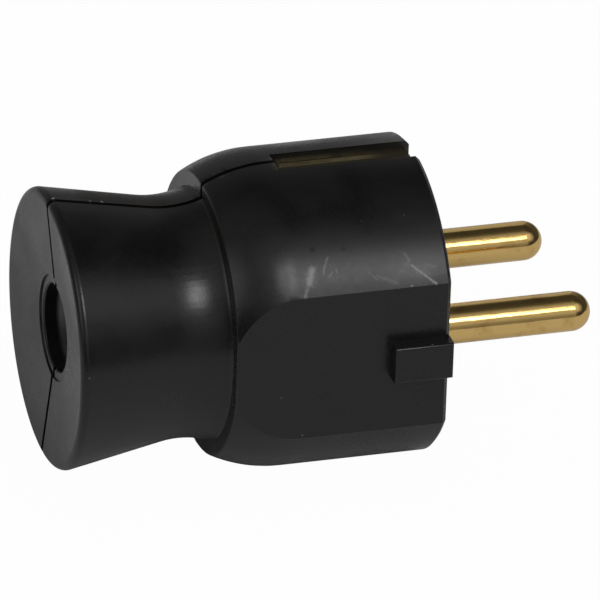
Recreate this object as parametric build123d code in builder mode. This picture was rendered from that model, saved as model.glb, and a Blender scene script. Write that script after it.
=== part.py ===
"""Rewireable earthed plug: a casing moulded in two halves around two pins, an earth strap and a cord clamp.

Frame, in millimetres: the origin is the middle of the front face, +X runs along the plug to the pin
tips, +Z is up through the upper earth contact, and the casing parts on the plane y = 0.
"""

import os
from math import sqrt

from build123d import *

os.makedirs("parts", exist_ok=True)

# Casing, outside: lengths from the front face to the flange, then radii
barrel_length = 18.2
shoulder_run = 7.9
neck_run = 6.4
flare_length = 12.5
body_radius = 19.0
shoulder_drop = 2.0
step_height = 1.8
neck_waist = 0.5
flare_rise = 2.35
front_bevel = 0.5
rim_bevel = 0.9
dish_depth = 1.4
seam_width = 0.7
seam_depth = 0.4

# Flats on the sides of the casing, each with a guide rib at the front
flat_distance = 16.6
rib_setback = 0.1
rib_length = 7.15
rib_width = 4.6
rib_height = 2.1
rib_round = 0.3

# Casing, inside
wall = 2.2
front_wall = 5.0
rear_wall = 5.4
cord_radius = 5.3
cord_mouth_bevel = 0.2
cord_mouth_land = 0.9
cord_mouth_sink = 0.2

# Locating pegs between the halves
peg_radius = 1.2
peg_length = 2.0
peg_clearance = 0.1
front_peg_height = 7.5
rear_peg_height = 10.0

# Pins, their terminal heads and what holds a head in the casing
pin_spacing = 19.0
pin_radius = 2.4
pin_reach = 19.5
pin_clearance = 0.05
root_step = 0.6
root_setback = 0.3
head_radius = 4.0
head_length = 9.0
head_bevel = 0.4
head_flat_cut = 0.8
wire_radius = 1.6
wire_depth = 7.5
terminal_distance = 5.5
cradle_distance = 2.0
cradle_length = 2.5
cradle_half_width = 5.5
catch_length = 1.2
catch_height = 0.5
catch_half_width = 2.0

# Earth strap and the channels that its ends lie in
strap_thickness = 0.5
strap_width = 4.0
strap_bend = 0.3
strap_clearance = 0.1
contact_inset = 1.4
contact_setback = 0.3
channel_length = 17.3
channel_end_gap = 0.6
ear_length = 9.0
ear_width = 7.0
ear_corner = 1.5
ear_collar_radius = 2.7
ear_collar_height = 1.5

# Cord clamp and the saddle under it
clamp_setback = 6.1
clamp_length = 6.0
clamp_thickness = 2.0
clamp_boss_radius = 2.4
clamp_room = 0.2
saddle_rib = 1.4
saddle_pitch = 3.4

# Columns for the casing screws
column_gap = 0.6
column_inset = 8.0
column_radius = 4.0
seat_sink = 0.3
seat_room = 0.2

# Screws and the earth wire's washer
slot_width = 0.8
slot_depth = 0.9
screw_edge = 0.3
screw_clearance = 0.06
screw_tip_gap = 0.8
terminal_screw_radius = 1.5
terminal_screw_bite = 1.2
terminal_screw_head_radius = 2.4
terminal_screw_head_height = 1.8
earth_screw_radius = 1.75
earth_screw_length = 6.0
earth_screw_head_radius = 3.0
earth_screw_head_height = 2.0
earth_washer_radius = 3.3
earth_washer_thickness = 0.8
clamp_screw_radius = 1.4
clamp_screw_length = 8.0
clamp_screw_head_radius = 2.3
clamp_screw_head_height = 1.6
casing_screw_radius = 1.75
casing_screw_bite = 9.0
casing_screw_head_radius = 3.1
casing_screw_head_height = 2.0

# Casing outline worked out from the sizes above
step_distance = barrel_length + shoulder_run
neck_distance = step_distance + neck_run
body_length = neck_distance + flare_length
shoulder_radius = body_radius - shoulder_drop
step_foot_radius = shoulder_radius - step_height
neck_radius = step_foot_radius - neck_waist
rim_radius = neck_radius + flare_rise
shoulder_arc = (shoulder_run**2 + shoulder_drop**2) / (2 * shoulder_drop)
dish_x = dish_depth - body_length
cord_mouth_radius = cord_radius + cord_mouth_bevel
mouth_ring_radius = cord_mouth_radius + cord_mouth_land
inner_step = step_distance - wall
inner_neck_radius = neck_radius - wall
inner_rear = body_length - rear_wall
inner_flare_radius = inner_neck_radius + flare_rise * (inner_rear - neck_distance) / flare_length

# Pins
pin_offset = pin_spacing / 2
root_radius = pin_radius + root_step
head_back = front_wall + head_length
head_flat = head_radius - head_flat_cut
terminal_x = -(front_wall + terminal_distance)
terminal_screw_length = head_flat + terminal_screw_bite
cradle_x = -(front_wall + cradle_distance + cradle_length / 2)
catch_x = -(head_back + pin_clearance + catch_length / 2)
catch_top = pin_offset + head_radius - catch_height

# Earth strap
contact_height = body_radius - contact_inset
channel_floor = contact_height - strap_thickness
channel_width = strap_width + 2 * strap_clearance
bridge_back = channel_length - channel_end_gap
bridge_front = bridge_back - strap_thickness
slot_front = bridge_front - strap_clearance
ear_face = strap_width / 2 - strap_thickness
ear_x = -(bridge_back + ear_length / 2)
inner_flat = flat_distance - wall
inner_height = channel_floor - wall

# Cord clamp
clamp_x = clamp_setback - inner_rear
clamp_screw_offset = cord_radius + clamp_thickness + clamp_screw_head_radius
clamp_foot_end = clamp_screw_offset + clamp_boss_radius

# Screw columns: a seat is as deep as sinks the head's edge under the shoulder there
column_distance = channel_length + column_gap + column_radius
column_height = body_radius - column_inset
column_run = column_distance - barrel_length
column_skin = body_radius - shoulder_arc + sqrt(shoulder_arc**2 - column_run**2)
seat_edge = sqrt(column_skin**2 - (column_height + casing_screw_head_radius) ** 2)
seat_depth = seat_edge - casing_screw_head_height - seat_sink

# The two sides of the parting plane, whose normal is -Y
LEFT = -1
RIGHT = 1
kept_side = {LEFT: Keep.TOP, RIGHT: Keep.BOTTOM}

# Places on the parting plane, as x and z
column_places = [(-column_distance, column_height), (-column_distance, -column_height)]
clamp_places = [(clamp_x, clamp_screw_offset), (clamp_x, -clamp_screw_offset)]
saddle_places = [(clamp_x - saddle_pitch / 2, 0), (clamp_x + saddle_pitch / 2, 0)]
rear_peg_x = (dish_x - inner_rear) / 2
peg_places = [
    (-front_wall / 2, front_peg_height),
    (-front_wall / 2, -front_peg_height),
    (rear_peg_x, rear_peg_height),
    (rear_peg_x, -rear_peg_height),
]


def across(side, places, start=0.0):
    """Planes at places on the parting plane, moved by start towards a side and facing that way."""
    return [Plane((x, side * start, z), x_dir=(1, 0, 0), z_dir=(0, side, 0)) for x, z in places]


def on_both_sides(start):
    """A plane on each side of the plug's axis, start away from it and facing outward."""
    return across(LEFT, [(0, 0)], start) + across(RIGHT, [(0, 0)], start)


def shoulder_end(inset):
    """Radius at the shoulder's rear end, on a surface that lies inset under the casing's skin."""
    return body_radius - shoulder_arc + sqrt((shoulder_arc - inset) ** 2 - (shoulder_run - inset) ** 2)


def casing_profile(inset):
    """Half of the casing's outline along X, drawn inset under its skin."""
    with BuildSketch() as outline:
        with BuildLine():
            front = Polyline(
                (-inset, 0),
                (-inset, body_radius - front_bevel),
                (-front_bevel, body_radius - inset),
                (-barrel_length, body_radius - inset),
            )
            shoulder = TangentArc(front @ 1, (inset - step_distance, shoulder_end(inset)), tangent=(-1, 0))
            step = Line(shoulder @ 1, (inset - step_distance, step_foot_radius - inset))
            flare = Line((inset - body_length, rim_radius - inset), (-neck_distance, neck_radius - inset))
            TangentArc(flare @ 1, step @ 1, tangent=flare % 1)
            Polyline(
                flare @ 0,
                (dish_x - cord_mouth_sink + inset, mouth_ring_radius),
                (dish_x + inset, mouth_ring_radius),
                (dish_x + inset, 0),
                front @ 0,
            )
        make_face()
        chamfer(outline.vertices().sort_by_distance(flare @ 0)[0], rim_bevel)
    return outline.sketch


def casing_outside():
    """The whole casing as one solid: a turned form with flats, guide ribs, cord inlet and seam groove."""
    with BuildPart() as whole:
        with BuildSketch():
            add(casing_profile(0))
        revolve(axis=Axis.X)
        with BuildSketch():
            with BuildLine():
                Polyline(
                    (0, flat_distance - front_bevel),
                    (-front_bevel, flat_distance),
                    (-step_distance, flat_distance),
                    (-step_distance, body_radius),
                    (0, body_radius),
                    close=True,
                )
            make_face()
            mirror(about=Plane.XZ)
        extrude(amount=body_radius, both=True, mode=Mode.SUBTRACT)
        with BuildSketch(*on_both_sides(flat_distance - front_bevel)):
            with Locations((-rib_setback, 0)):
                Rectangle(rib_length, rib_width, align=(Align.MAX, Align.CENTER))
        extrude(amount=front_bevel + rib_height)
        for rib_face in (whole.faces().sort_by(Axis.Y)[0], whole.faces().sort_by(Axis.Y)[-1]):
            fillet(rib_face.edges(), rib_round)
        with BuildSketch():
            with BuildLine():
                Polyline(
                    (-body_length, 0),
                    (-body_length, cord_mouth_radius + dish_depth),
                    (dish_x + cord_mouth_bevel, cord_radius),
                    (-inner_rear, cord_radius),
                    (-inner_rear, 0),
                    close=True,
                )
            make_face()
        revolve(axis=Axis.X, mode=Mode.SUBTRACT)
        # The seam shows behind the channels only
        with BuildSketch(Plane.XZ):
            with Locations((-channel_length / 2, 0)):
                Rectangle(body_length, body_length, align=(Align.MAX, Align.MIN))
            add(casing_profile(seam_depth), mode=Mode.SUBTRACT)
            mirror(about=Plane.XZ)
        extrude(amount=seam_width / 2, both=True, mode=Mode.SUBTRACT)
    return whole.part


def casing_hollow(side):
    """The room inside one half, less its screw columns and its pin's cradle and catch."""
    with BuildPart() as hollow:
        with BuildSketch():
            with BuildLine():
                front = Line((-front_wall, 0), (-front_wall, body_radius - wall))
                barrel = Line(front @ 1, (-barrel_length, body_radius - wall))
                shoulder = TangentArc(barrel @ 1, (-inner_step, shoulder_end(wall)), tangent=(-1, 0))
                Polyline(
                    shoulder @ 1,
                    (-inner_step, inner_neck_radius),
                    (-neck_distance, inner_neck_radius),
                    (-inner_rear, inner_flare_radius),
                    (-inner_rear, 0),
                    front @ 0,
                )
            make_face()
        revolve(axis=Axis.X)
        with Locations((-body_length / 2, 0, 0)):
            Box(body_length, 2 * inner_flat, 2 * inner_height, mode=Mode.INTERSECT)
        split(bisect_by=Plane.XZ, keep=kept_side[side])
        with BuildSketch(*across(side, column_places)):
            Circle(column_radius)
        extrude(amount=body_radius, mode=Mode.SUBTRACT)
        with BuildSketch(*across(side, [(cradle_x, 0)], pin_offset)):
            Rectangle(cradle_length, 2 * cradle_half_width)
        extrude(amount=body_radius, mode=Mode.SUBTRACT)
        with BuildSketch(*across(side, [(catch_x, 0)], catch_top)):
            Rectangle(catch_length, 2 * catch_half_width)
        extrude(amount=body_radius, mode=Mode.SUBTRACT)
        with BuildSketch(Plane.YZ.offset(-front_wall)):
            with Locations((side * pin_offset, 0)):
                Circle(head_radius + pin_clearance)
        extrude(amount=-head_length - pin_clearance)
    return hollow.part


def casing_half(side, hollow):
    """One half of the casing around its room, with its pin bore and its share of the earth channels."""
    with BuildPart() as half:
        add(outside)
        split(bisect_by=Plane.XZ, keep=kept_side[side])
        add(hollow, mode=Mode.SUBTRACT)
        with BuildSketch(Plane.XZ):
            for up in (1, -1):
                with BuildLine():
                    Polyline(
                        (0, up * channel_floor),
                        (0, up * body_radius),
                        (-channel_length, up * body_radius),
                        (-channel_length, up * inner_height),
                        (-slot_front, up * inner_height),
                        (-slot_front, up * (channel_floor - strap_bend)),
                        (strap_bend - slot_front, up * channel_floor),
                        close=True,
                    )
                make_face()
        extrude(amount=channel_width / 2, both=True, mode=Mode.SUBTRACT)
        with BuildSketch(Plane.YZ):
            with Locations((side * pin_offset, 0)):
                Circle(root_radius + pin_clearance)
        extrude(amount=-front_wall, mode=Mode.SUBTRACT)
    return half.part


def contact_pin(side):
    """Turned pin with a domed tip and a terminal head that is drilled for its wire and its screw."""
    with BuildPart() as pin:
        with BuildSketch(Plane.XZ.offset(-side * pin_offset)):
            with BuildLine():
                dome = TangentArc((pin_reach, 0), (pin_reach - pin_radius, pin_radius), tangent=(0, 1))
                Polyline(
                    dome @ 1,
                    (-root_setback, pin_radius),
                    (-root_setback, root_radius),
                    (-front_wall, root_radius),
                    (-front_wall, head_radius - head_bevel),
                    (-front_wall - head_bevel, head_radius),
                    (head_bevel - head_back, head_radius),
                    (-head_back, head_radius - head_bevel),
                    (-head_back, 0),
                    dome @ 0,
                )
            make_face()
        revolve(axis=Axis((0, side * pin_offset, 0), (1, 0, 0)))
        with BuildSketch(*across(-side, [(-front_wall, 0)], head_flat - pin_offset)):
            Rectangle(head_length, 2 * head_radius, align=(Align.MAX, Align.CENTER))
        extrude(amount=head_radius, mode=Mode.SUBTRACT)
        with BuildSketch(Plane.YZ.offset(-head_back)):
            with Locations((side * pin_offset, 0)):
                Circle(wire_radius)
        extrude(amount=wire_depth, mode=Mode.SUBTRACT)
        with BuildSketch(*across(side, [(terminal_x, 0)], pin_offset - head_flat)):
            Circle(terminal_screw_radius + screw_clearance)
        extrude(amount=terminal_screw_length + screw_clearance, mode=Mode.SUBTRACT)
    return pin.part


def slotted_screw(radius, length, cap_radius, cap_height):
    """Cheese-head screw that points along -Z, with the underside of its head at the origin."""
    with BuildPart() as screw:
        with BuildSketch(Plane.XZ):
            with BuildLine():
                Polyline(
                    (0, cap_height),
                    (cap_radius - screw_edge, cap_height),
                    (cap_radius, cap_height - screw_edge),
                    (cap_radius, 0),
                    (radius, 0),
                    (radius, screw_edge - length),
                    (radius - screw_edge, -length),
                    (0, -length),
                    close=True,
                )
            make_face()
        revolve(axis=Axis.Z)
        with BuildSketch(Plane.XY.offset(cap_height)):
            Rectangle(2 * cap_radius, slot_width)
        extrude(amount=-slot_depth, mode=Mode.SUBTRACT)
    return screw.part


# Both halves are cut from this
outside = casing_outside()

# Left half: blind screw columns, the cord's saddle and the pegs' sockets
with BuildPart() as left_hollow:
    add(casing_hollow(LEFT))
    with BuildSketch(*across(LEFT, clamp_places)):
        Circle(clamp_boss_radius)
    extrude(amount=body_radius, mode=Mode.SUBTRACT)
    with BuildSketch(*across(LEFT, saddle_places)):
        Rectangle(saddle_rib, 2 * clamp_screw_offset)
    extrude(amount=body_radius, mode=Mode.SUBTRACT)
    with BuildSketch(Plane.YZ.offset(-inner_rear)):
        Circle(cord_radius)
    extrude(amount=inner_rear - inner_step)

with BuildPart() as casing_left:
    add(casing_half(LEFT, left_hollow.part))
    with BuildSketch(*across(LEFT, column_places)):
        Circle(casing_screw_radius + screw_clearance)
    extrude(amount=casing_screw_bite + screw_tip_gap, mode=Mode.SUBTRACT)
    with BuildSketch(*across(LEFT, clamp_places)):
        Circle(clamp_screw_radius + screw_clearance)
    extrude(amount=clamp_screw_length - clamp_thickness + screw_tip_gap, mode=Mode.SUBTRACT)
    with BuildSketch(*across(LEFT, peg_places)):
        Circle(peg_radius + peg_clearance)
    extrude(amount=peg_length + peg_clearance, mode=Mode.SUBTRACT)
casing_left.part.label = "casing_left"
export_step(casing_left.part, "parts/casing_left.step")

# Right half: sunk screw seats, room over the cord clamp and the locating pegs
with BuildPart() as right_hollow:
    add(casing_hollow(RIGHT))
    with BuildSketch(*across(RIGHT, [(clamp_x, 0)])):
        Rectangle(clamp_length + 2 * clamp_room, 2 * (clamp_foot_end + clamp_room))
    extrude(amount=clamp_thickness + clamp_screw_head_height + clamp_room)

with BuildPart() as casing_right:
    add(casing_half(RIGHT, right_hollow.part))
    with BuildSketch(*across(RIGHT, column_places)):
        Circle(casing_screw_radius + screw_clearance)
    extrude(amount=seat_depth, mode=Mode.SUBTRACT)
    with BuildSketch(*across(RIGHT, column_places, seat_depth)):
        Circle(casing_screw_head_radius + seat_room)
    extrude(amount=body_radius, mode=Mode.SUBTRACT)
    with BuildSketch(*across(LEFT, peg_places)):
        Circle(peg_radius)
    extrude(amount=peg_length)
casing_right.part.label = "casing_right"
export_step(casing_right.part, "parts/casing_right.step")

# Live pins and the screws in their heads
with BuildPart() as pin_left:
    add(contact_pin(LEFT))
pin_left.part.label = "pin_left"
export_step(pin_left.part, "parts/pin_left.step")

with BuildPart() as pin_right:
    add(contact_pin(RIGHT))
pin_right.part.label = "pin_right"
export_step(pin_right.part, "parts/pin_right.step")

terminal_screw = slotted_screw(
    terminal_screw_radius, terminal_screw_length, terminal_screw_head_radius, terminal_screw_head_height
)
with BuildPart() as terminal_screws:
    for side in (LEFT, RIGHT):
        with Locations(*across(-side, [(terminal_x, 0)], head_flat - pin_offset)):
            add(terminal_screw)
terminal_screws.part.label = "terminal_screws"
export_step(terminal_screws.part, "parts/terminal_screws.step")

# Earth strap: a bow whose ends lie in the channels, with an ear for the earth wire
with BuildPart() as earth_strap:
    with BuildSketch(Plane.XZ) as bow:
        with Locations((-contact_setback, 0)):
            Rectangle(bridge_back - contact_setback, 2 * contact_height, align=(Align.MAX, Align.CENTER))
        fillet(bow.vertices().group_by(Axis.X)[0], strap_bend + strap_thickness)
    extrude(amount=strap_width / 2, both=True)
    with BuildSketch(Plane.XZ) as bow_inside:
        Rectangle(bridge_front, 2 * channel_floor, align=(Align.MAX, Align.CENTER))
        fillet(bow_inside.vertices().group_by(Axis.X)[0], strap_bend)
    extrude(amount=strap_width / 2, both=True, mode=Mode.SUBTRACT)
    with BuildSketch(*across(LEFT, [(-bridge_front, 0)], ear_face)) as ear:
        Rectangle(strap_thickness + ear_length, ear_width, align=(Align.MAX, Align.CENTER))
        fillet(ear.vertices().group_by(Axis.X)[0], ear_corner)
    extrude(amount=strap_thickness)
    with BuildSketch(*across(LEFT, [(ear_x, 0)], strap_width / 2)):
        Circle(ear_collar_radius)
    extrude(amount=ear_collar_height)
    with BuildSketch(*across(LEFT, [(ear_x, 0)], ear_face)):
        Circle(earth_screw_radius + screw_clearance)
    extrude(amount=strap_thickness + ear_collar_height, mode=Mode.SUBTRACT)
earth_strap.part.label = "earth_strap"
export_step(earth_strap.part, "parts/earth_strap.step")

with BuildPart() as earth_washer:
    with BuildSketch(*across(RIGHT, [(ear_x, 0)], -ear_face)):
        Circle(earth_washer_radius)
        Circle(earth_screw_radius + screw_clearance, mode=Mode.SUBTRACT)
    extrude(amount=earth_washer_thickness)
earth_washer.part.label = "earth_washer"
export_step(earth_washer.part, "parts/earth_washer.step")

with BuildPart() as earth_screw:
    with Locations(*across(RIGHT, [(ear_x, 0)], earth_washer_thickness - ear_face)):
        add(slotted_screw(earth_screw_radius, earth_screw_length, earth_screw_head_radius, earth_screw_head_height))
earth_screw.part.label = "earth_screw"
export_step(earth_screw.part, "parts/earth_screw.step")

# Cord clamp: a bar arched over the cord's way, on the saddle's two bosses
with BuildPart() as cord_clamp:
    with BuildSketch(Plane.YZ.offset(clamp_x - clamp_length / 2)):
        Circle(cord_radius + clamp_thickness)
        Rectangle(2 * clamp_thickness, 2 * clamp_foot_end)
        Circle(cord_radius, mode=Mode.SUBTRACT)
        Rectangle(body_radius, 2 * body_radius, align=(Align.MAX, Align.CENTER), mode=Mode.SUBTRACT)
    extrude(amount=clamp_length)
    with BuildSketch(*across(RIGHT, clamp_places)):
        Circle(clamp_screw_radius + screw_clearance)
    extrude(amount=clamp_thickness, mode=Mode.SUBTRACT)
cord_clamp.part.label = "cord_clamp"
export_step(cord_clamp.part, "parts/cord_clamp.step")

clamp_screw = slotted_screw(
    clamp_screw_radius, clamp_screw_length, clamp_screw_head_radius, clamp_screw_head_height
)
with BuildPart() as cord_clamp_screws:
    with Locations(*across(RIGHT, clamp_places, clamp_thickness)):
        add(clamp_screw)
cord_clamp_screws.part.label = "cord_clamp_screws"
export_step(cord_clamp_screws.part, "parts/cord_clamp_screws.step")

# Casing screws, from the right half's seats into the left half's columns
casing_screw = slotted_screw(
    casing_screw_radius, seat_depth + casing_screw_bite, casing_screw_head_radius, casing_screw_head_height
)
with BuildPart() as casing_screws:
    with Locations(*across(RIGHT, column_places, seat_depth)):
        add(casing_screw)
casing_screws.part.label = "casing_screws"
export_step(casing_screws.part, "parts/casing_screws.step")
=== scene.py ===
"""Dresses the packed earthed plug: softened casing halves, worn black plastic, brass and steel.

Everything is in metres, in the frame of the CAD model: the origin is the middle of the casing's
front face, +X runs to the pin tips and +Z is up. Marks and masks on surfaces are in millimetres.
"""

from math import cos, hypot, radians, sin

import bpy
from bpy.props import FloatProperty, FloatVectorProperty, IntProperty, PointerProperty
from bpy.types import Operator, Panel, PropertyGroup
from mathutils import Matrix, Vector


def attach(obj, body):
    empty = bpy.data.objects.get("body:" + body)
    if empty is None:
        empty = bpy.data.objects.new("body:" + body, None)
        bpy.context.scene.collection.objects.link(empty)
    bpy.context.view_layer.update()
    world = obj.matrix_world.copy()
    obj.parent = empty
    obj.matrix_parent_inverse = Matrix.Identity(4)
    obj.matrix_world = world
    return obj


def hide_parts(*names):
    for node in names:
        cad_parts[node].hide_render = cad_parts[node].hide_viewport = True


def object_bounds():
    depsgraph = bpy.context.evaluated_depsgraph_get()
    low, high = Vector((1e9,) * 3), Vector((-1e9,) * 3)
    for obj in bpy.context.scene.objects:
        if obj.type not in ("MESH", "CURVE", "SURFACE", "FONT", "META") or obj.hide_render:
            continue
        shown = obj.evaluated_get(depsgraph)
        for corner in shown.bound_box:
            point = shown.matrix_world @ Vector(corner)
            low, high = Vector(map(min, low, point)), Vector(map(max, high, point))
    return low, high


bl_info = {
    "name": "Earthed Plug Looks",
    "version": (1, 0, 0),
    "blender": (4, 5, 0),
    "location": "View3D > Sidebar > Plug",
    "description": "Softens the plug's casing, gives every piece its finish and sets up the stage",
    "category": "Object",
}

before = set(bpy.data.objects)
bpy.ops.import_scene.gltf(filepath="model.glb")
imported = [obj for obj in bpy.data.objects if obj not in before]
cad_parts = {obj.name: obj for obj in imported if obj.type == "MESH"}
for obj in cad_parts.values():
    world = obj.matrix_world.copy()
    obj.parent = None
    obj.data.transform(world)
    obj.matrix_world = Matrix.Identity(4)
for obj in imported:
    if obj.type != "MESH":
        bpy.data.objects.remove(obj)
CAD_BOX = [list(corner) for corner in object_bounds()]

MM = 0.001
BODY = "root"

# Turned edges of the casing in metres, as x and radius, and how near to one a corner has to lie
RIM_FRONT = (-0.0441155, 0.0168837)
RIM_REAR = (-0.0448992, 0.0161557)
STEP_EDGE = (-0.0261, 0.017)
RING_REACH = 0.00002

# Limits for joining, flattening, rounding and shading the copied meshes
WELD_REACH = 1e-7
FLAT_ANGLE = radians(0.2)
SHARP_ANGLE = radians(28)
LARGE_FACE_WEIGHT = 100

# Scratches on the casing in millimetres: start, end, half width and strength
SCRATCHES = (
    ((-16.7, -14.8, 11.9), (-17.3, -15.7, 10.7), 0.85, 0.85),
    ((-17.2, -15.5, 10.9), (-18.0, -16.5, 9.4), 0.36, 0.5),
    ((-14.65, -13.97, 12.87), (-15.14, -14.52, 12.25), 0.22, 0.35),
    ((-15.14, -14.52, 12.25), (-15.4, -15.15, 11.46), 0.28, 0.45),
    ((-13.84, -14.89, 11.8), (-13.82, -15.15, 11.46), 0.2, 0.4),
    ((-14.75, -15.34, 11.2), (-14.36, -15.16, 11.44), 0.28, 0.45),
    ((-10.0, -15.34, 11.2), (-9.1, -15.89, 10.41), 0.2, 0.3),
    ((-9.0, -15.7, 10.69), (-6.8, -16.24, 9.86), 0.42, 0.22),
    ((-5.26, -14.32, 12.48), (-4.89, -14.9, 11.79), 0.34, 0.25),
    ((-4.63, -15.23, 11.35), (-1.97, -16.54, 9.34), 0.28, 0.8),
)

# Round marks on the casing in millimetres: middle, half width and strength
SPECKS = (
    ((-9.62, -10.81, 15.62), 0.2, 0.08),
    ((-4.41, -10.66, 15.72), 0.15, 0.15),
    ((-28.78, -1.69, 14.6), 0.16, 0.8),
    ((-17.79, -16.6, -8.86), 0.15, 0.6),
    ((-20.52, -16.6, -3.61), 0.13, 0.4),
    ((-2.77, -18.39, 2.3), 0.16, 0.8),
    ((-43.82, 7.95, -1.22), 0.14, 0.6),
    ((-43.6, 4.57, -3.97), 0.12, 0.5),
    ((-44.0, -16.82, 1.91), 0.2, 0.9),
    ((-44.0, 0.59, 16.8), 0.3, 1.0),
    ((-39.53, 0.6, 15.99), 0.26, 0.9),
    ((-38.07, 0.6, 15.72), 0.3, 1.0),
    ((-27.1, -0.6, 15.15), 0.2, 0.9),
    ((-27.68, -2.11, 14.81), 0.15, 0.7),
    ((-4.96, -16.53, 9.37), 0.2, 1.0),
    ((-11.18, -16.49, 9.43), 0.14, 0.2),
)
SMUDGES = (
    ((-16.28, -13.14, 13.72), 0.8, 1.0),
    ((-12.55, -13.4, 13.46), 0.7, 0.8),
    ((-5.67, -13.88, 12.98), 0.7, 0.7),
)

# Where a mark ends, in half widths, and how quickly it thins out on the way
MARK_REACH = 1.4
MARK_FALLOFF = 2.0

# Soft masks in millimetres: for each fade what it follows, where it starts and where it is full.
# Side and height are the distances from the planes y = 0 and z = 0, radius is that from the axis.
# In the channels this mask carries the painted reflection of the brass strap on the walls.
CHANNEL = (("side", 2.3, 2.05), ("height", 16.6, 16.9), ("X", -17.6, -17.4))
INLET = (("radius", 5.6, 5.5), ("X", -42.1, -41.4), ("X", -30.0, -34.0))
SEAM_FILM = (
    ("Y", 0.3, 0.5),
    ("Y", 8.0, 3.0),
    ("X", -41.5, -39.0),
    ("X", -28.0, -31.0),
    ("Z", 10.0, 12.0),
)
# Where the step face is painted paler: painted light that lifts its shade.
STEP_FACE = (("X", -26.5, -26.2), ("X", -25.9, -26.05))
STRAP_TRACK = (("side", 1.3, 0.9),)
STRAP_FRONT = (("X", -11.0, -3.0),)

# Painted reflection of the brass strap on the channel walls: its streaks, how it thins out upwards,
# and its share at the front ends
STREAK_RANGE = (0.35, 0.65)
STREAK_LEAST = 0.35
STRAP_REFLECTION_HEIGHT = (18.7, 17.2)
STRAP_REFLECTION_LEAST = 0.1
STRAP_REFLECTION_FRONT = (-6.0, -2.0)
STRAP_REFLECTION_AT_FRONT = 0.6

# Dust in the cord inlet: where it thins out downwards, and to what share
DUST_HEIGHT = (-4.0, 0.0)
DUST_LEAST = 0.3

# What marks, film, smudges and haze add to the casing's roughness or take from it
SCUFF_DULLS = 0.3
FILM_DULLS = 0.2
SMUDGE_SHINES = 0.16
HAZE_SPREAD = 0.016

# The strap: how far its clouds dull it, and how metallic its dull places are
STRAP_CLOUDS = 0.7
STRAP_DULL_METAL = 0.4

# Where most values of a noise pattern lie, and where a metal's dark spots begin and are full
NOISE_RANGE = (0.3, 0.7)
SPOT_RANGE = (0.5, 0.75)

# A Mix node's sockets for colours
MIX_FIRST, MIX_SECOND, MIX_RESULT = 6, 7, 2

# The floor's cells along each side, and the size and shade of its fibres
FLOOR_CELLS = 8
FIBRE_SCALE = 60.0
FIBRE_SHADE = 0.97

# The wall in the room, by parts of a direction: where it starts and is full, and its least share
WALL_BEHIND = (-0.2, 0.5)
WALL_TOP = (0.8, 0.55)
WALL_FOOT = (-0.1, 0.12)
WALL_FOOT_LEAST = 0.6
WALL_RIGHT = (0.7, 0.4)
WALL_RIGHT_LEAST = 0.2

# Glows in the room, in degrees from their middle: where each ends and where it is full
HALO_SPREAD = (42, 12)
LEFT_SPREAD = (42, 8)
EDGE_SPREAD = (26, 12)
RIGHT_SPREAD = (28, 5)
FRONT_SPREAD = (30, 8)

WHITE = (1.0, 1.0, 1.0, 1.0)
SENSOR_WIDTH = 36.0


# Shader helpers


def feed(tree, target, inputs):
    """Sets inputs of a node; each is a value or the socket that feeds it."""
    for socket, value in inputs.items():
        if isinstance(value, bpy.types.NodeSocket):
            tree.links.new(value, target.inputs[socket])
        else:
            target.inputs[socket].default_value = value


def node(tree, kind, inputs=None, **settings):
    """Adds a shader node with its settings and inputs."""
    made = tree.nodes.new(kind)
    for name, value in settings.items():
        setattr(made, name, value)
    feed(tree, made, inputs or {})
    return made


def math_node(tree, operation, first, second=0.0, clamp=False):
    """Adds one sum on two numbers and returns its result."""
    inputs = {0: first, 1: second}
    return node(tree, "ShaderNodeMath", inputs, operation=operation, use_clamp=clamp).outputs[0]


def chain(tree, operation, *values):
    """Joins several numbers, first to last, by the same kind of sum."""
    total = values[0]
    for value in values[1:]:
        total = math_node(tree, operation, total, value)
    return total


def vector_node(tree, operation, first, second=(0.0, 0.0, 0.0)):
    """Adds one sum on two vectors; the caller picks its Vector or Value."""
    return node(tree, "ShaderNodeVectorMath", {0: first, 1: second}, operation=operation).outputs


def scaled(tree, vector, factor):
    """A vector times a number."""
    inputs = {0: vector, "Scale": factor}
    return node(tree, "ShaderNodeVectorMath", inputs, operation="SCALE").outputs["Vector"]


def ramp(tree, value, low, high, bottom=0.0, top=1.0):
    """Maps low..high smoothly to bottom..top; low may be the larger one."""
    inputs = {"Value": value, "From Min": low, "From Max": high, "To Min": bottom, "To Max": top}
    made = node(tree, "ShaderNodeMapRange", inputs, interpolation_type="SMOOTHSTEP")
    return made.outputs["Result"]


def noise(tree, point, scale, detail):
    """A noise pattern's values."""
    inputs = {"Vector": point, "Scale": scale, "Detail": detail}
    return node(tree, "ShaderNodeTexNoise", inputs).outputs["Fac"]


def mix_colours(tree, factor, first, second):
    """Mixes two colours, each a socket or its red, green and blue, and returns the result."""
    first, second = (
        colour if isinstance(colour, bpy.types.NodeSocket) else (*colour, 1.0)
        for colour in (first, second)
    )
    inputs = {"Factor": factor, MIX_FIRST: first, MIX_SECOND: second}
    return node(tree, "ShaderNodeMix", inputs, data_type="RGBA").outputs[MIX_RESULT]


# Shared node groups


VECTOR = "NodeSocketVector"
FLOAT = "NodeSocketFloat"


def node_group(name, inputs, outputs):
    """Starts a group with named sockets; returns its tree, its given values and its output node."""
    tree = bpy.data.node_groups.new(name, "ShaderNodeTree")
    for direction, sockets in (("INPUT", inputs), ("OUTPUT", outputs)):
        for socket, kind in sockets:
            tree.interface.new_socket(name=socket, in_out=direction, socket_type=kind)
    given = tree.nodes.new("NodeGroupInput").outputs
    return tree, given, tree.nodes.new("NodeGroupOutput")


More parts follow.
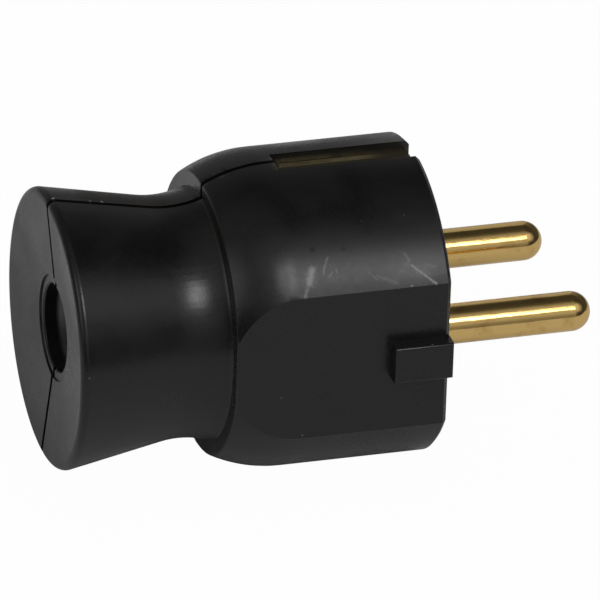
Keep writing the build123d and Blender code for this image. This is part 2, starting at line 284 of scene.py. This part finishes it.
def mark_group(name):
    """Group: how much a scratch or speck from Start to End covers a point."""
    vectors = (("Point", VECTOR), ("Start", VECTOR), ("End", VECTOR))
    numbers = (("Half Width", FLOAT), ("Strength", FLOAT))
    tree, given, out = node_group(name, vectors + numbers, (("Mask", FLOAT),))
    run = vector_node(tree, "SUBTRACT", given["End"], given["Start"])["Vector"]
    offset = vector_node(tree, "SUBTRACT", given["Point"], given["Start"])["Vector"]
    covered = vector_node(tree, "DOT_PRODUCT", offset, run)["Value"]
    whole = vector_node(tree, "DOT_PRODUCT", run, run)["Value"]
    along = math_node(tree, "DIVIDE", covered, whole, clamp=True)
    distance = vector_node(tree, "DISTANCE", offset, scaled(tree, run, along))["Value"]
    grit = noise(tree, given["Point"], scale=2.2, detail=3.0)
    uneven = ramp(tree, grit, *NOISE_RANGE, bottom=1.5, top=0.8)
    ragged = math_node(tree, "MULTIPLY", distance, uneven)
    widths = math_node(tree, "DIVIDE", ragged, given["Half Width"])
    soft = math_node(tree, "POWER", ramp(tree, widths, MARK_REACH, 0.0), MARK_FALLOFF)
    feed(tree, out, {"Mask": math_node(tree, "MULTIPLY", soft, given["Strength"])})
    return tree


def uneven_group(name):
    """Group: a broad uneven tone and a fine grain, for colour, roughness and bump."""
    tree, given, out = node_group(
        name,
        (("Point", VECTOR), ("Broad Scale", FLOAT), ("Grain Scale", FLOAT)),
        (("Broad", FLOAT), ("Grain", FLOAT)),
    )
    broad = noise(tree, given["Point"], given["Broad Scale"], detail=3.0)
    grain = noise(tree, given["Point"], given["Grain Scale"], detail=2.0)
    feed(tree, out, {"Broad": ramp(tree, broad, *NOISE_RANGE), "Grain": grain})
    return tree


def drawn_group(name):
    """Group: fine lines along X with darker spots between them, for turned and rolled metal."""
    tree, given, out = node_group(
        name,
        (("Point", VECTOR), ("Line Scale", FLOAT)),
        (("Lines", FLOAT), ("Spots", FLOAT)),
    )
    stretch = {"Vector": given["Point"], "Scale": (0.12, 1.0, 1.0)}
    stretched = node(tree, "ShaderNodeMapping", stretch).outputs["Vector"]
    lines = noise(tree, stretched, given["Line Scale"], detail=3.0)
    dark = noise(tree, given["Point"], scale=0.55, detail=6.0)
    feed(tree, out, {"Lines": lines, "Spots": ramp(tree, dark, *SPOT_RANGE)})
    return tree


def place_group(tree, name, build, inputs):
    """Places a group, built once, with inputs of its own; returns its outputs."""
    group = bpy.data.node_groups.get(name) or build(name)
    return node(tree, "ShaderNodeGroup", inputs, node_tree=group).outputs


def uneven_surface(tree, point, broad, grain):
    """Places the uneven surface with the scales of its tone and its grain."""
    inputs = {"Point": point, "Broad Scale": broad, "Grain Scale": grain}
    return place_group(tree, "uneven_surface", uneven_group, inputs)


def drawn_metal(tree, point, lines):
    """Places the drawn metal with the scale of its lines."""
    inputs = {"Point": point, "Line Scale": lines}
    return place_group(tree, "drawn_metal", drawn_group, inputs)


# Masks on surfaces


def round_marks(places):
    """Round marks in the form of scratches without length."""
    return tuple((place, place, width, strength) for place, width, strength in places)


def wear_marks(tree, point, marks):
    """The given marks as one mask."""
    masks = []
    for start, end, width, strength in marks:
        inputs = {
            "Point": point,
            "Start": start,
            "End": end,
            "Half Width": width,
            "Strength": strength,
        }
        masks.append(place_group(tree, "mark_on_surface", mark_group, inputs)["Mask"])
    return chain(tree, "MAXIMUM", *masks)


def split_vector(tree, vector):
    """A vector's X, Y and Z."""
    return node(tree, "ShaderNodeSeparateXYZ", {"Vector": vector}).outputs


def followed(tree, split, name):
    """What a fade follows: one of a point's coordinates, or one of its distances."""
    if name == "side":
        return math_node(tree, "ABSOLUTE", split["Y"])
    if name == "height":
        return math_node(tree, "ABSOLUTE", split["Z"])
    if name == "radius":
        section = node(tree, "ShaderNodeCombineXYZ", {"Y": split["Y"], "Z": split["Z"]})
        return vector_node(tree, "LENGTH", section.outputs["Vector"])["Value"]
    return split[name]


def soft_mask(tree, split, fades):
    """A mask that is full where all its fades are."""
    ramps = (ramp(tree, followed(tree, split, name), start, full) for name, start, full in fades)
    return chain(tree, "MULTIPLY", *ramps)


def channel_strap_reflection(tree, point, split):
    """Painted reflection of the brass strap on the earth channels' walls: streaky, strongest near
    their floors and at their front ends.
    """
    streaks = drawn_metal(tree, point, lines=1.6)["Lines"]
    streaky = ramp(tree, streaks, *STREAK_RANGE, bottom=STREAK_LEAST)
    low = ramp(tree, followed(tree, split, "height"), *STRAP_REFLECTION_HEIGHT, bottom=STRAP_REFLECTION_LEAST)
    ahead = ramp(tree, split["X"], *STRAP_REFLECTION_FRONT, top=STRAP_REFLECTION_AT_FRONT)
    reflection_share = math_node(tree, "MAXIMUM", low, ahead)
    return chain(tree, "MULTIPLY", soft_mask(tree, split, CHANNEL), streaky, reflection_share)


def inlet_dust(tree, split):
    """Dust inside the cord inlet, thinner lower down."""
    thin = ramp(tree, split["Z"], *DUST_HEIGHT, bottom=DUST_LEAST)
    return math_node(tree, "MULTIPLY", soft_mask(tree, split, INLET), thin)


# Materials


def start_material(name):
    """A new material: its tree, its Principled shader and the surface point in millimetres."""
    material = bpy.data.materials.new(name)
    material.use_nodes = True
    tree = material.node_tree
    place = node(tree, "ShaderNodeTexCoord").outputs["Object"]
    return material, tree, tree.nodes["Principled BSDF"], scaled(tree, place, 1 / MM)


def bump(tree, shader, height, strength, distance):
    """Raises the shader's surface by a height pattern."""
    inputs = {"Height": height, "Strength": strength, "Distance": distance}
    feed(tree, shader, {"Normal": node(tree, "ShaderNodeBump", inputs).outputs["Normal"]})


def casing_plastic(finish):
    """Black moulded plastic with scuffs, smudges, film and dust, a painted reflection of the brass
    in the earth channels and painted light on the step face.
    """
    material, tree, shader, point = start_material("casing_plastic")
    surface = uneven_surface(tree, point, broad=0.12, grain=3.0)
    haze = uneven_surface(tree, point, broad=1.5, grain=6.0)["Broad"]
    split = split_vector(tree, point)
    marks = wear_marks(tree, point, SCRATCHES + round_marks(SPECKS))
    smudges = wear_marks(tree, point, round_marks(SMUDGES))
    film = soft_mask(tree, split, SEAM_FILM)
    colour = mix_colours(tree, surface["Broad"], finish.casing_dark, finish.casing_light)
    layers = (
        # Painted reflection of the brass strap on the channel walls.
        (channel_strap_reflection(tree, point, split), finish.strap_reflection_colour),
        (inlet_dust(tree, split), finish.dust_colour),
        (film, finish.film_colour),
        # Painted light on the step face: a paler colour that lifts its shade.
        (soft_mask(tree, split, STEP_FACE), finish.step_painted_light_colour),
        (marks, finish.scuff_colour),
    )
    for mask, layer in layers:
        colour = mix_colours(tree, mask, colour, layer)
    least = finish.casing_roughness - finish.casing_roughness_spread
    most = finish.casing_roughness + finish.casing_roughness_spread
    scuffed = math_node(tree, "MULTIPLY", marks, SCUFF_DULLS)
    filmed = math_node(tree, "MULTIPLY", film, FILM_DULLS)
    smudged = math_node(tree, "MULTIPLY", smudges, -SMUDGE_SHINES)
    worn = chain(
        tree,
        "ADD",
        math_node(tree, "MAXIMUM", scuffed, filmed),
        smudged,
        ramp(tree, haze, 0.0, 1.0, bottom=-HAZE_SPREAD, top=HAZE_SPREAD),
    )
    roughness = ramp(tree, surface["Broad"], 0.0, 1.0, bottom=least, top=most)
    inputs = {
        "Base Color": colour,
        "Roughness": math_node(tree, "ADD", roughness, worn, clamp=True),
        "IOR": finish.casing_ior,
    }
    feed(tree, shader, inputs)
    bump(tree, shader, surface["Grain"], strength=0.08, distance=0.03 * MM)
    return material


def pin_brass(finish):
    """Turned brass with drawn lines and a little tarnish."""
    material, tree, shader, point = start_material("pin_brass")
    drawn = drawn_metal(tree, point, lines=6.0)
    inputs = {
        "Base Color": mix_colours(
            tree, drawn["Spots"], finish.brass_colour, finish.tarnish_colour
        ),
        "Metallic": 1.0,
        "Roughness": ramp(tree, drawn["Lines"], *NOISE_RANGE, bottom=0.08, top=0.17),
    }
    feed(tree, shader, inputs)
    bump(tree, shader, drawn["Lines"], strength=0.1, distance=0.02 * MM)
    return material


def strap_brass(finish):
    """Rolled brass strip, dull along its track, at its front and in clouds."""
    material, tree, shader, point = start_material("strap_brass")
    lines = drawn_metal(tree, point, lines=4.0)["Lines"]
    clouds = uneven_surface(tree, point, broad=0.5, grain=6.0)["Broad"]
    split = split_vector(tree, point)
    dull = chain(
        tree,
        "MAXIMUM",
        soft_mask(tree, split, STRAP_TRACK),
        soft_mask(tree, split, STRAP_FRONT),
        math_node(tree, "MULTIPLY", clouds, STRAP_CLOUDS),
    )
    inputs = {
        "Base Color": mix_colours(tree, dull, finish.strap_colour, finish.patina_colour),
        "Metallic": ramp(tree, dull, 0.0, 1.0, bottom=1.0, top=STRAP_DULL_METAL),
        "Roughness": ramp(tree, lines, *NOISE_RANGE, bottom=0.35, top=0.5),
    }
    feed(tree, shader, inputs)
    bump(tree, shader, lines, strength=0.15, distance=0.03 * MM)
    return material


def plated_steel(finish):
    """Zinc-plated steel with a faint bloom."""
    material, tree, shader, point = start_material("plated_steel")
    surface = uneven_surface(tree, point, broad=0.6, grain=8.0)
    inputs = {
        "Base Color": mix_colours(
            tree, surface["Broad"], finish.steel_colour, finish.bloom_colour
        ),
        "Metallic": 1.0,
        "Roughness": ramp(tree, surface["Grain"], *NOISE_RANGE, bottom=0.28, top=0.42),
    }
    feed(tree, shader, inputs)
    bump(tree, shader, surface["Grain"], strength=0.12, distance=0.03 * MM)
    return material


def clamp_fibre(finish):
    """Dull moulded bar, a little lighter where it was pressed."""
    material, tree, shader, point = start_material("clamp_fibre")
    surface = uneven_surface(tree, point, broad=0.4, grain=5.0)
    inputs = {
        "Base Color": mix_colours(
            tree, surface["Broad"], finish.clamp_colour, finish.clamp_pressed
        ),
        "Roughness": ramp(tree, surface["Grain"], *NOISE_RANGE, bottom=0.5, top=0.65),
    }
    feed(tree, shader, inputs)
    bump(tree, shader, surface["Grain"], strength=0.25, distance=0.05 * MM)
    return material


# Modelling helpers


def cover(thing, material):
    """Puts one material in every slot of an object."""
    if not thing.material_slots:
        thing.data.materials.append(material)
    for slot in thing.material_slots:
        slot.material = material


def only(thing):
    """Selects one object alone and makes it active."""
    bpy.ops.object.select_all(action="DESELECT")
    thing.select_set(True)
    bpy.context.view_layer.objects.active = thing


def merged_copy(node_name, piece_name):
    """A copy of a CAD node's mesh with its loose triangles joined and its flat faces made whole."""
    piece = bpy.data.objects.new(piece_name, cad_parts[node_name].data.copy())
    bpy.context.scene.collection.objects.link(piece)
    only(piece)
    bpy.ops.mesh.customdata_custom_splitnormals_clear()
    bpy.ops.object.mode_set(mode="EDIT")
    bpy.ops.mesh.select_all(action="SELECT")
    bpy.ops.mesh.remove_doubles(threshold=WELD_REACH)
    bpy.ops.mesh.dissolve_limited(angle_limit=FLAT_ANGLE, use_dissolve_boundaries=False)
    bpy.ops.object.mode_set(mode="OBJECT")
    return piece


def on_ring(piece, x, radius):
    """For each corner of a piece, whether it lies on a turned edge."""
    return [
        abs(point.co.x - x) < RING_REACH
        and abs(hypot(point.co.y, point.co.z) - radius) < RING_REACH
        for point in piece.data.vertices
    ]


def select_edges(piece, first, second):
    """Leaves a piece in edit mode with the edges selected that run from one ring to the other.

    With the same ring twice, these are the edges along it.
    """
    only(piece)
    bpy.ops.object.mode_set(mode="EDIT")
    bpy.ops.mesh.select_mode(type="EDGE")
    bpy.ops.mesh.select_all(action="DESELECT")
    bpy.ops.object.mode_set(mode="OBJECT")
    at_first, at_second = on_ring(piece, *first), on_ring(piece, *second)
    for edge in piece.data.edges:
        start, end = edge.vertices
        onward = at_first[start] and at_second[end]
        edge.select = onward or (at_second[start] and at_first[end])
    if not any(edge.select for edge in piece.data.edges):
        raise RuntimeError(f"{piece.name} has no edge from ring {first} to ring {second}")
    bpy.ops.object.mode_set(mode="EDIT")


def swell_bevel(piece, front, rear, swell):
    """Cuts the bevel between two rings in half and pushes the cut out; returns the cut's ring."""
    select_edges(piece, front, rear)
    bpy.ops.mesh.subdivide(number_cuts=1)
    bpy.ops.object.mode_set(mode="OBJECT")
    x, radius = ((a + b) / 2 for a, b in zip(front, rear))
    back, out = Vector((rear[1] - front[1], front[0] - rear[0])).normalized() * swell
    grown = 1 + out / radius
    select_edges(piece, (x, radius), (x, radius))
    bpy.ops.transform.translate(value=(back, 0, 0))
    bpy.ops.transform.resize(value=(1, grown, grown), center_override=(0, 0, 0))
    bpy.ops.object.mode_set(mode="OBJECT")
    return x + back, radius + out


def round_ring(piece, ring, width, segments):
    """Rounds one turned edge of a piece."""
    select_edges(piece, ring, ring)
    bpy.ops.mesh.bevel(
        offset=width,
        offset_type="OFFSET",
        segments=segments,
        affect="EDGES",
        clamp_overlap=True,
    )
    bpy.ops.object.mode_set(mode="OBJECT")


def soften_edges(piece, width, segments):
    """Rounds every sharp edge of a piece a little and shades it by its large faces."""
    only(piece)
    modifier = piece.modifiers.new("edge_round", "BEVEL")
    modifier.width = width
    modifier.segments = segments
    modifier.limit_method = "ANGLE"
    modifier.angle_limit = SHARP_ANGLE
    modifier.miter_outer = "MITER_ARC"
    bpy.ops.object.modifier_apply(modifier=modifier.name)
    bpy.ops.object.shade_smooth()
    modifier = piece.modifiers.new("even_shading", "WEIGHTED_NORMAL")
    modifier.weight = LARGE_FACE_WEIGHT
    modifier.keep_sharp = False
    bpy.ops.object.modifier_apply(modifier=modifier.name)


# Stage helpers


def white_share(tree, seen, in_gloss):
    """How much plain white a ray meets: seen by the camera, or in gloss."""
    path = node(tree, "ShaderNodeLightPath").outputs
    gloss = math_node(tree, "MAXIMUM", path["Is Glossy Ray"], path["Is Transmission Ray"])
    direct = math_node(tree, "MULTIPLY", path["Is Camera Ray"], seen)
    mirrored = math_node(tree, "MULTIPLY", gloss, in_gloss)
    return math_node(tree, "ADD", direct, mirrored, clamp=True)


def glow(tree, toward, middle, spread, strength):
    """A round glow in the room, round the direction of its middle."""
    facing = vector_node(tree, "DOT_PRODUCT", toward, Vector(middle).normalized())["Value"]
    end, full = (cos(radians(angle)) for angle in spread)
    return math_node(tree, "MULTIPLY", ramp(tree, facing, end, full), strength)


def lay_floor(stage):
    """Pale paper under the plug, nearly plain white to the camera."""
    width, depth = stage.floor_size
    lowest = CAD_BOX[0][2]
    bpy.ops.object.select_all(action="DESELECT")
    bpy.ops.mesh.primitive_grid_add(
        x_subdivisions=FLOOR_CELLS,
        y_subdivisions=FLOOR_CELLS,
        size=1,
        location=(0, depth / 2 - stage.floor_near, lowest),
    )
    bpy.ops.transform.resize(value=(width, depth, 1))
    floor = bpy.context.active_object
    floor.name = "floor"
    bpy.ops.object.transform_apply(location=True, rotation=True, scale=True)
    material = bpy.data.materials.new("floor_paper")
    material.use_nodes = True
    tree = material.node_tree
    tree.nodes.remove(tree.nodes["Principled BSDF"])
    place = node(tree, "ShaderNodeTexCoord").outputs["Object"]
    fibres = noise(tree, place, FIBRE_SCALE, detail=2.0)
    darker = [FIBRE_SHADE * part for part in stage.floor_colour]
    shade = mix_colours(tree, fibres, stage.floor_colour, darker)
    paper = node(tree, "ShaderNodeBsdfDiffuse", {"Color": shade}).outputs[0]
    white = node(tree, "ShaderNodeEmission", {"Color": WHITE, "Strength": 1.0}).outputs[0]
    share = white_share(tree, stage.floor_white, stage.floor_glow)
    mixed = node(tree, "ShaderNodeMixShader", {0: share, 1: paper, 2: white})
    feed(tree, tree.nodes["Material Output"], {"Surface": mixed.outputs[0]})
    cover(floor, material)


def light_room(scene, stage):
    """A room that is white to the camera and lights the plug by a wall and soft glows."""
    world = bpy.data.worlds.new("room")
    scene.world = world
    world.use_nodes = True
    tree = world.node_tree
    toward = node(tree, "ShaderNodeTexCoord").outputs["Generated"]
    split = split_vector(tree, toward)
    wall = chain(
        tree,
        "MULTIPLY",
        ramp(tree, split["Y"], *WALL_BEHIND),
        ramp(tree, split["Z"], *WALL_TOP),
        ramp(tree, split["Z"], *WALL_FOOT, bottom=WALL_FOOT_LEAST),
        ramp(tree, split["X"], *WALL_RIGHT, bottom=WALL_RIGHT_LEAST),
        stage.wall_light,
    )
    glows = (
        (stage.softbox_place, HALO_SPREAD, stage.halo_light),
        (stage.left_toward, LEFT_SPREAD, stage.left_fill),
        (stage.edge_toward, EDGE_SPREAD, stage.edge_fill),
        (stage.right_toward, RIGHT_SPREAD, stage.right_fill),
        (stage.front_toward, FRONT_SPREAD, stage.front_fill),
    )
    lit = chain(tree, "ADD", wall, *(glow(tree, toward, *each) for each in glows), stage.room_light)
    room = tree.nodes["Background"]
    feed(tree, room, {"Color": WHITE, "Strength": lit})
    white = node(tree, "ShaderNodeBackground", {"Color": WHITE, "Strength": 1.0}).outputs[0]
    share = white_share(tree, 1.0, stage.room_glow)
    mixed = node(tree, "ShaderNodeMixShader", {0: share, 1: room.outputs[0], 2: white})
    feed(tree, tree.nodes["World Output"], {"Surface": mixed.outputs[0]})


def hang_lamps(scene, stage):
    """A softbox, a card behind the pins and an overhead light, all turned to the plug."""
    above = (0, 0, stage.overhead_height)
    square = (stage.overhead_size, stage.overhead_size)
    lamps = (
        ("softbox", stage.softbox_size, stage.softbox_place, stage.softbox_power),
        ("card", stage.card_size, stage.card_place, stage.card_power),
        ("overhead", square, above, stage.overhead_power),
    )
    for name, size, place, power in lamps:
        lamp = bpy.data.lights.new(name, "AREA")
        lamp.shape = "RECTANGLE"
        lamp.size, lamp.size_y = size
        lamp.energy = power
        lamp_object = bpy.data.objects.new(name, lamp)
        scene.collection.objects.link(lamp_object)
        lamp_object.location = place
        lamp_object.rotation_euler = (-Vector(place)).to_track_quat("-Z", "Y").to_euler()
        lamp_object.visible_camera = False
    bpy.data.objects["overhead"].visible_glossy = False


def set_camera(scene, stage):
    """The photo's camera, from its angles, its distance and its aim."""
    level = cos(stage.elevation)
    back = Vector(
        (sin(stage.azimuth) * level, -cos(stage.azimuth) * level, sin(stage.elevation))
    )
    right = Vector((0, 0, 1)).cross(back).normalized()
    up = back.cross(right)
    turned = cos(stage.roll) * right + sin(stage.roll) * up
    raised = cos(stage.roll) * up - sin(stage.roll) * right
    axes = Matrix((turned, raised, back)).transposed().to_4x4()
    camera = bpy.data.objects.new("camera", bpy.data.cameras.new("camera"))
    scene.collection.objects.link(camera)
    camera.matrix_world = Matrix.Translation(Vector(stage.aim) + stage.distance * back) @ axes
    camera.data.sensor_width = SENSOR_WIDTH
    camera.data.lens = stage.lens
    scene.camera = camera


# Settings that a user would change


def colour_setting(name, description, default):
    """A colour."""
    return FloatVectorProperty(
        name=name, description=description, subtype="COLOR", default=default
    )


def number_setting(name, description, default, least=0.0, most=1.0):
    """A number between two limits."""
    return FloatProperty(
        name=name, description=description, min=least, max=most, default=default
    )


def strength_setting(name, description, default):
    """A light's strength."""
    return FloatProperty(name=name, description=description, min=0.0, default=default)


def power_setting(name, description, default):
    """A lamp's power in watts."""
    return FloatProperty(
        name=name, description=description, unit="POWER", min=0.0, default=default
    )


def length_setting(name, description, default, least=0.0):
    """A length in metres."""
    return FloatProperty(
        name=name, description=description, unit="LENGTH", min=least, default=default
    )


def angle_setting(name, description, degrees):
    """An angle, given in degrees."""
    return FloatProperty(
        name=name, description=description, subtype="ANGLE", default=radians(degrees)
    )


def size_setting(name, description, default):
    """A width and a height or depth in metres."""
    return FloatVectorProperty(
        name=name, description=description, unit="LENGTH", size=2, default=default
    )


def place_setting(name, description, default):
    """A point in metres."""
    return FloatVectorProperty(
        name=name, description=description, unit="LENGTH", subtype="XYZ", default=default
    )


def direction_setting(name, description, default):
    """A direction of any length."""
    return FloatVectorProperty(
        name=name, description=description, subtype="DIRECTION", default=default
    )


def steps_setting(name, description, default, most):
    """A number of facets."""
    return IntProperty(name=name, description=description, min=1, max=most, default=default)


class PlugFinish(PropertyGroup):
    """Colours and finishes of the plug's pieces."""

    casing_dark: colour_setting(
        "Casing", "Colour of the casing's plastic", (0.004, 0.0038, 0.004)
    )
    casing_light: colour_setting("Casing, paler", "Its paler places", (0.0075, 0.0072, 0.0075))
    casing_roughness: number_setting(
        "Casing roughness", "Mean roughness of the casing", 0.3, least=0.05
    )
    casing_roughness_spread: number_setting(
        "Roughness spread", "How far the roughness strays", 0.04, most=0.3
    )
    casing_ior: number_setting(
        "Casing IOR", "Index of refraction of the casing", 1.5, least=1.0, most=2.0
    )
    scuff_colour: colour_setting("Scuffs", "Colour of scratches and specks", (0.36, 0.36, 0.37))
    # Painted reflection of the brass strap on the channel walls.
    strap_reflection_colour: colour_setting(
        "Painted_reflection", "Colour of the painted_reflection in the channels", (0.062, 0.049, 0.024)
    )
    dust_colour: colour_setting("Dust", "Colour of the dust in the cord inlet", (0.3, 0.29, 0.31))
    film_colour: colour_setting(
        "Film", "Colour of the film along the seam", (0.009, 0.0065, 0.0045)
    )
    # Painted light on the step face: a paler colour that lifts its shade.
    step_painted_light_colour: colour_setting(
        "Step", "Colour of the dust on the casing's step", (0.017, 0.0155, 0.0135)
    )
    brass_colour: colour_setting("Brass", "Colour of the pins", (0.9, 0.615, 0.225))
    tarnish_colour: colour_setting("Tarnish", "Colour of the pins' spots", (0.74, 0.46, 0.16))
    strap_colour: colour_setting("Strap", "Colour of the earth strap", (0.5, 0.42, 0.22))
    patina_colour: colour_setting(
        "Patina", "Colour of the strap's dull places", (0.045, 0.038, 0.024)
    )
    steel_colour: colour_setting("Steel", "Colour of the plated screws", (0.6, 0.6, 0.58))
    bloom_colour: colour_setting("Bloom", "Colour of the plating's bloom", (0.42, 0.42, 0.41))
    clamp_colour: colour_setting("Clamp", "Colour of the cord clamp", (0.045, 0.043, 0.04))
    clamp_pressed: colour_setting("Clamp, pressed", "Its paler places", (0.075, 0.07, 0.065))


class PlugShape(PropertyGroup):
    """Sizes that the looks add to the CAD model."""

    edge_round: length_setting("Edge round", "Width of the casing's softened edges", 0.00012)
    edge_segments: steps_setting("Edge steps", "Facets across such an edge", 2, most=6)
    rim_swell: length_setting("Rim swell", "How far the rim's bevel swells to a round", 0.0002)
    rim_round: length_setting("Rim round", "Width of the rounding on the rim's edges", 0.00024)
    step_round: length_setting("Step round", "Width of the rounding on the step's edge", 0.00025)
    ring_segments: steps_setting("Ring steps", "Facets across these", 4, most=8)


class PlugStage(PropertyGroup):
    """Floor, light and camera."""

    floor_size: size_setting("Floor", "Width and depth of the floor", (1.0, 0.75))
    floor_near: length_setting("Near edge", "How far the floor reaches to the camera", 0.13)
    floor_colour: colour_setting("Floor colour", "Colour of the floor", (0.8, 0.8, 0.82))
    floor_white: number_setting(
        "Floor white", "Share of plain white in the floor as the camera sees it", 0.98
    )
    floor_glow: number_setting(
        "Floor in gloss", "Share of plain white in the floor as gloss sees it", 0.03
    )
    room_light: strength_setting("Room light", "Strength of the room's light", 0.0155)
    room_glow: number_setting(
        "Room in gloss", "Share of plain white in the room as gloss sees it", 0.03
    )
    wall_light: strength_setting("Wall light", "Strength that the wall behind adds", 0.12)
    halo_light: strength_setting("Halo light", "Strength of the glow round the softbox", 0.34)
    left_fill: strength_setting("Left fill", "Strength of the glow on the left", 0.16)
    left_toward: direction_setting(
        "Left fill side", "Direction of that glow", (-0.32, -0.18, 0.93)
    )
    edge_fill: strength_setting("Edge fill", "Strength of the glow that edges catch", 1.0)
    edge_toward: direction_setting("Edge fill side", "Direction of that glow", (-0.75, -0.4, 0.5))
    right_fill: strength_setting("Right fill", "Strength of the glow on the right", 0.3)
    right_toward: direction_setting(
        "Right fill side", "Direction of that glow", (0.6, -0.56, 0.57)
    )
    front_fill: strength_setting("Front fill", "Strength of the glow low in front", 0.2)
    front_toward: direction_setting(
        "Front fill side", "Direction of that glow", (0.05, -0.99, 0.12)
    )
    softbox_size: size_setting("Softbox", "Width and height of the softbox", (0.25, 0.28))
    softbox_place: place_setting(
        "Softbox place", "Middle of the softbox", (0.115, -0.567, 0.556)
    )
    softbox_power: power_setting("Softbox power", "Power of the softbox", 1.2)
    card_size: size_setting("Card", "Width and height of the card behind the pins", (0.034, 0.068))
    card_place: place_setting("Card place", "Middle of that card", (0.035, 0.08, 0.036))
    card_power: power_setting("Card power", "Power of that card", 0.0017)
    overhead_size: length_setting("Overhead", "Side of the overhead light", 1.0, least=0.05)
    overhead_height: length_setting(
        "Overhead height", "Height of the overhead light", 1.2, least=0.1
    )
    overhead_power: power_setting("Overhead power", "Power of the overhead light", 3.9)
    azimuth: angle_setting("Azimuth", "Camera's turn round the plug", -17.278)
    elevation: angle_setting("Elevation", "Camera's height angle", 27.083)
    roll: angle_setting("Roll", "Camera's roll", 1.975)
    distance: length_setting("Distance", "Camera's distance from its aim", 1.2265, least=0.1)
    aim: place_setting("Aim", "Point in the middle of the view", (-0.013351, 0.000425, 0.000006))
    lens: number_setting(
        "Lens", "Focal length in mm on the camera's sensor", 620.072, least=10.0, most=2000.0
    )


# One operator for each piece or group of pieces, and one for the stage


class PLUG_OT_casing(Operator):
    """Makes both casing halves with softened edges and worn black plastic"""

    bl_idname = "plug.casing"
    bl_label = "Casing Halves"

    def execute(self, context):
        shape = context.scene.plug_shape
        plastic = casing_plastic(context.scene.plug_finish)
        for node_name in ("casing_left", "casing_right"):
            cover(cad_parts[node_name], plastic)
            piece = merged_copy(node_name, node_name + "_shell")
            rim_middle = swell_bevel(piece, RIM_FRONT, RIM_REAR, shape.rim_swell)
            for ring in (RIM_FRONT, rim_middle, RIM_REAR):
                round_ring(piece, ring, shape.rim_round, shape.ring_segments)
            round_ring(piece, STEP_EDGE, shape.step_round, shape.ring_segments)
            soften_edges(piece, shape.edge_round, shape.edge_segments)
            cover(piece, plastic)
            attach(piece, BODY)
            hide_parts(node_name)
        return {"FINISHED"}


class PLUG_OT_pins(Operator):
    """Gives both pins their turned brass"""

    bl_idname = "plug.pins"
    bl_label = "Pins"

    def execute(self, context):
        brass = pin_brass(context.scene.plug_finish)
        for node_name in ("pin_left", "pin_right"):
            cover(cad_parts[node_name], brass)
        return {"FINISHED"}


class PLUG_OT_earth_strap(Operator):
    """Gives the earth strap its dulled brass"""

    bl_idname = "plug.earth_strap"
    bl_label = "Earth Strap"

    def execute(self, context):
        cover(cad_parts["earth_strap"], strap_brass(context.scene.plug_finish))
        return {"FINISHED"}


class PLUG_OT_fasteners(Operator):
    """Gives the screws and the washer their plated steel"""

    bl_idname = "plug.fasteners"
    bl_label = "Screws and Washer"

    def execute(self, context):
        steel = plated_steel(context.scene.plug_finish)
        for node_name in (
            "terminal_screws",
            "earth_screw",
            "earth_washer",
            "cord_clamp_screws",
            "casing_screws",
        ):
            cover(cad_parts[node_name], steel)
        return {"FINISHED"}


class PLUG_OT_cord_clamp(Operator):
    """Gives the cord clamp its dull moulding"""

    bl_idname = "plug.cord_clamp"
    bl_label = "Cord Clamp"

    def execute(self, context):
        cover(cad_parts["cord_clamp"], clamp_fibre(context.scene.plug_finish))
        return {"FINISHED"}


class PLUG_OT_stage(Operator):
    """Sets up the pale floor, the soft light and the camera"""

    bl_idname = "plug.stage"
    bl_label = "Stage"

    def execute(self, context):
        scene = context.scene
        stage = scene.plug_stage
        lay_floor(stage)
        light_room(scene, stage)
        hang_lamps(scene, stage)
        set_camera(scene, stage)
        scene.view_settings.view_transform = "Standard"
        return {"FINISHED"}


OPERATORS = (
    PLUG_OT_casing,
    PLUG_OT_pins,
    PLUG_OT_earth_strap,
    PLUG_OT_fasteners,
    PLUG_OT_cord_clamp,
    PLUG_OT_stage,
)


class PLUG_PT_looks(Panel):
    """Lists the plug's pieces and its stage"""

    bl_idname = "PLUG_PT_looks"
    bl_label = "Earthed Plug"
    bl_space_type = "VIEW_3D"
    bl_region_type = "UI"
    bl_category = "Plug"

    def draw(self, context):
        for operator in OPERATORS:
            self.layout.operator(operator.bl_idname)


CLASSES = (PlugFinish, PlugShape, PlugStage) + OPERATORS + (PLUG_PT_looks,)


def register():
    for cls in CLASSES:
        bpy.utils.register_class(cls)
    bpy.types.Scene.plug_finish = PointerProperty(type=PlugFinish)
    bpy.types.Scene.plug_shape = PointerProperty(type=PlugShape)
    bpy.types.Scene.plug_stage = PointerProperty(type=PlugStage)


def unregister():
    del bpy.types.Scene.plug_stage
    del bpy.types.Scene.plug_shape
    del bpy.types.Scene.plug_finish
    for cls in reversed(CLASSES):
        bpy.utils.unregister_class(cls)


def main():
    register()
    bpy.ops.plug.casing()
    bpy.ops.plug.pins()
    bpy.ops.plug.earth_strap()
    bpy.ops.plug.fasteners()
    bpy.ops.plug.cord_clamp()
    bpy.ops.plug.stage()


if __name__ == "__main__":
    main()
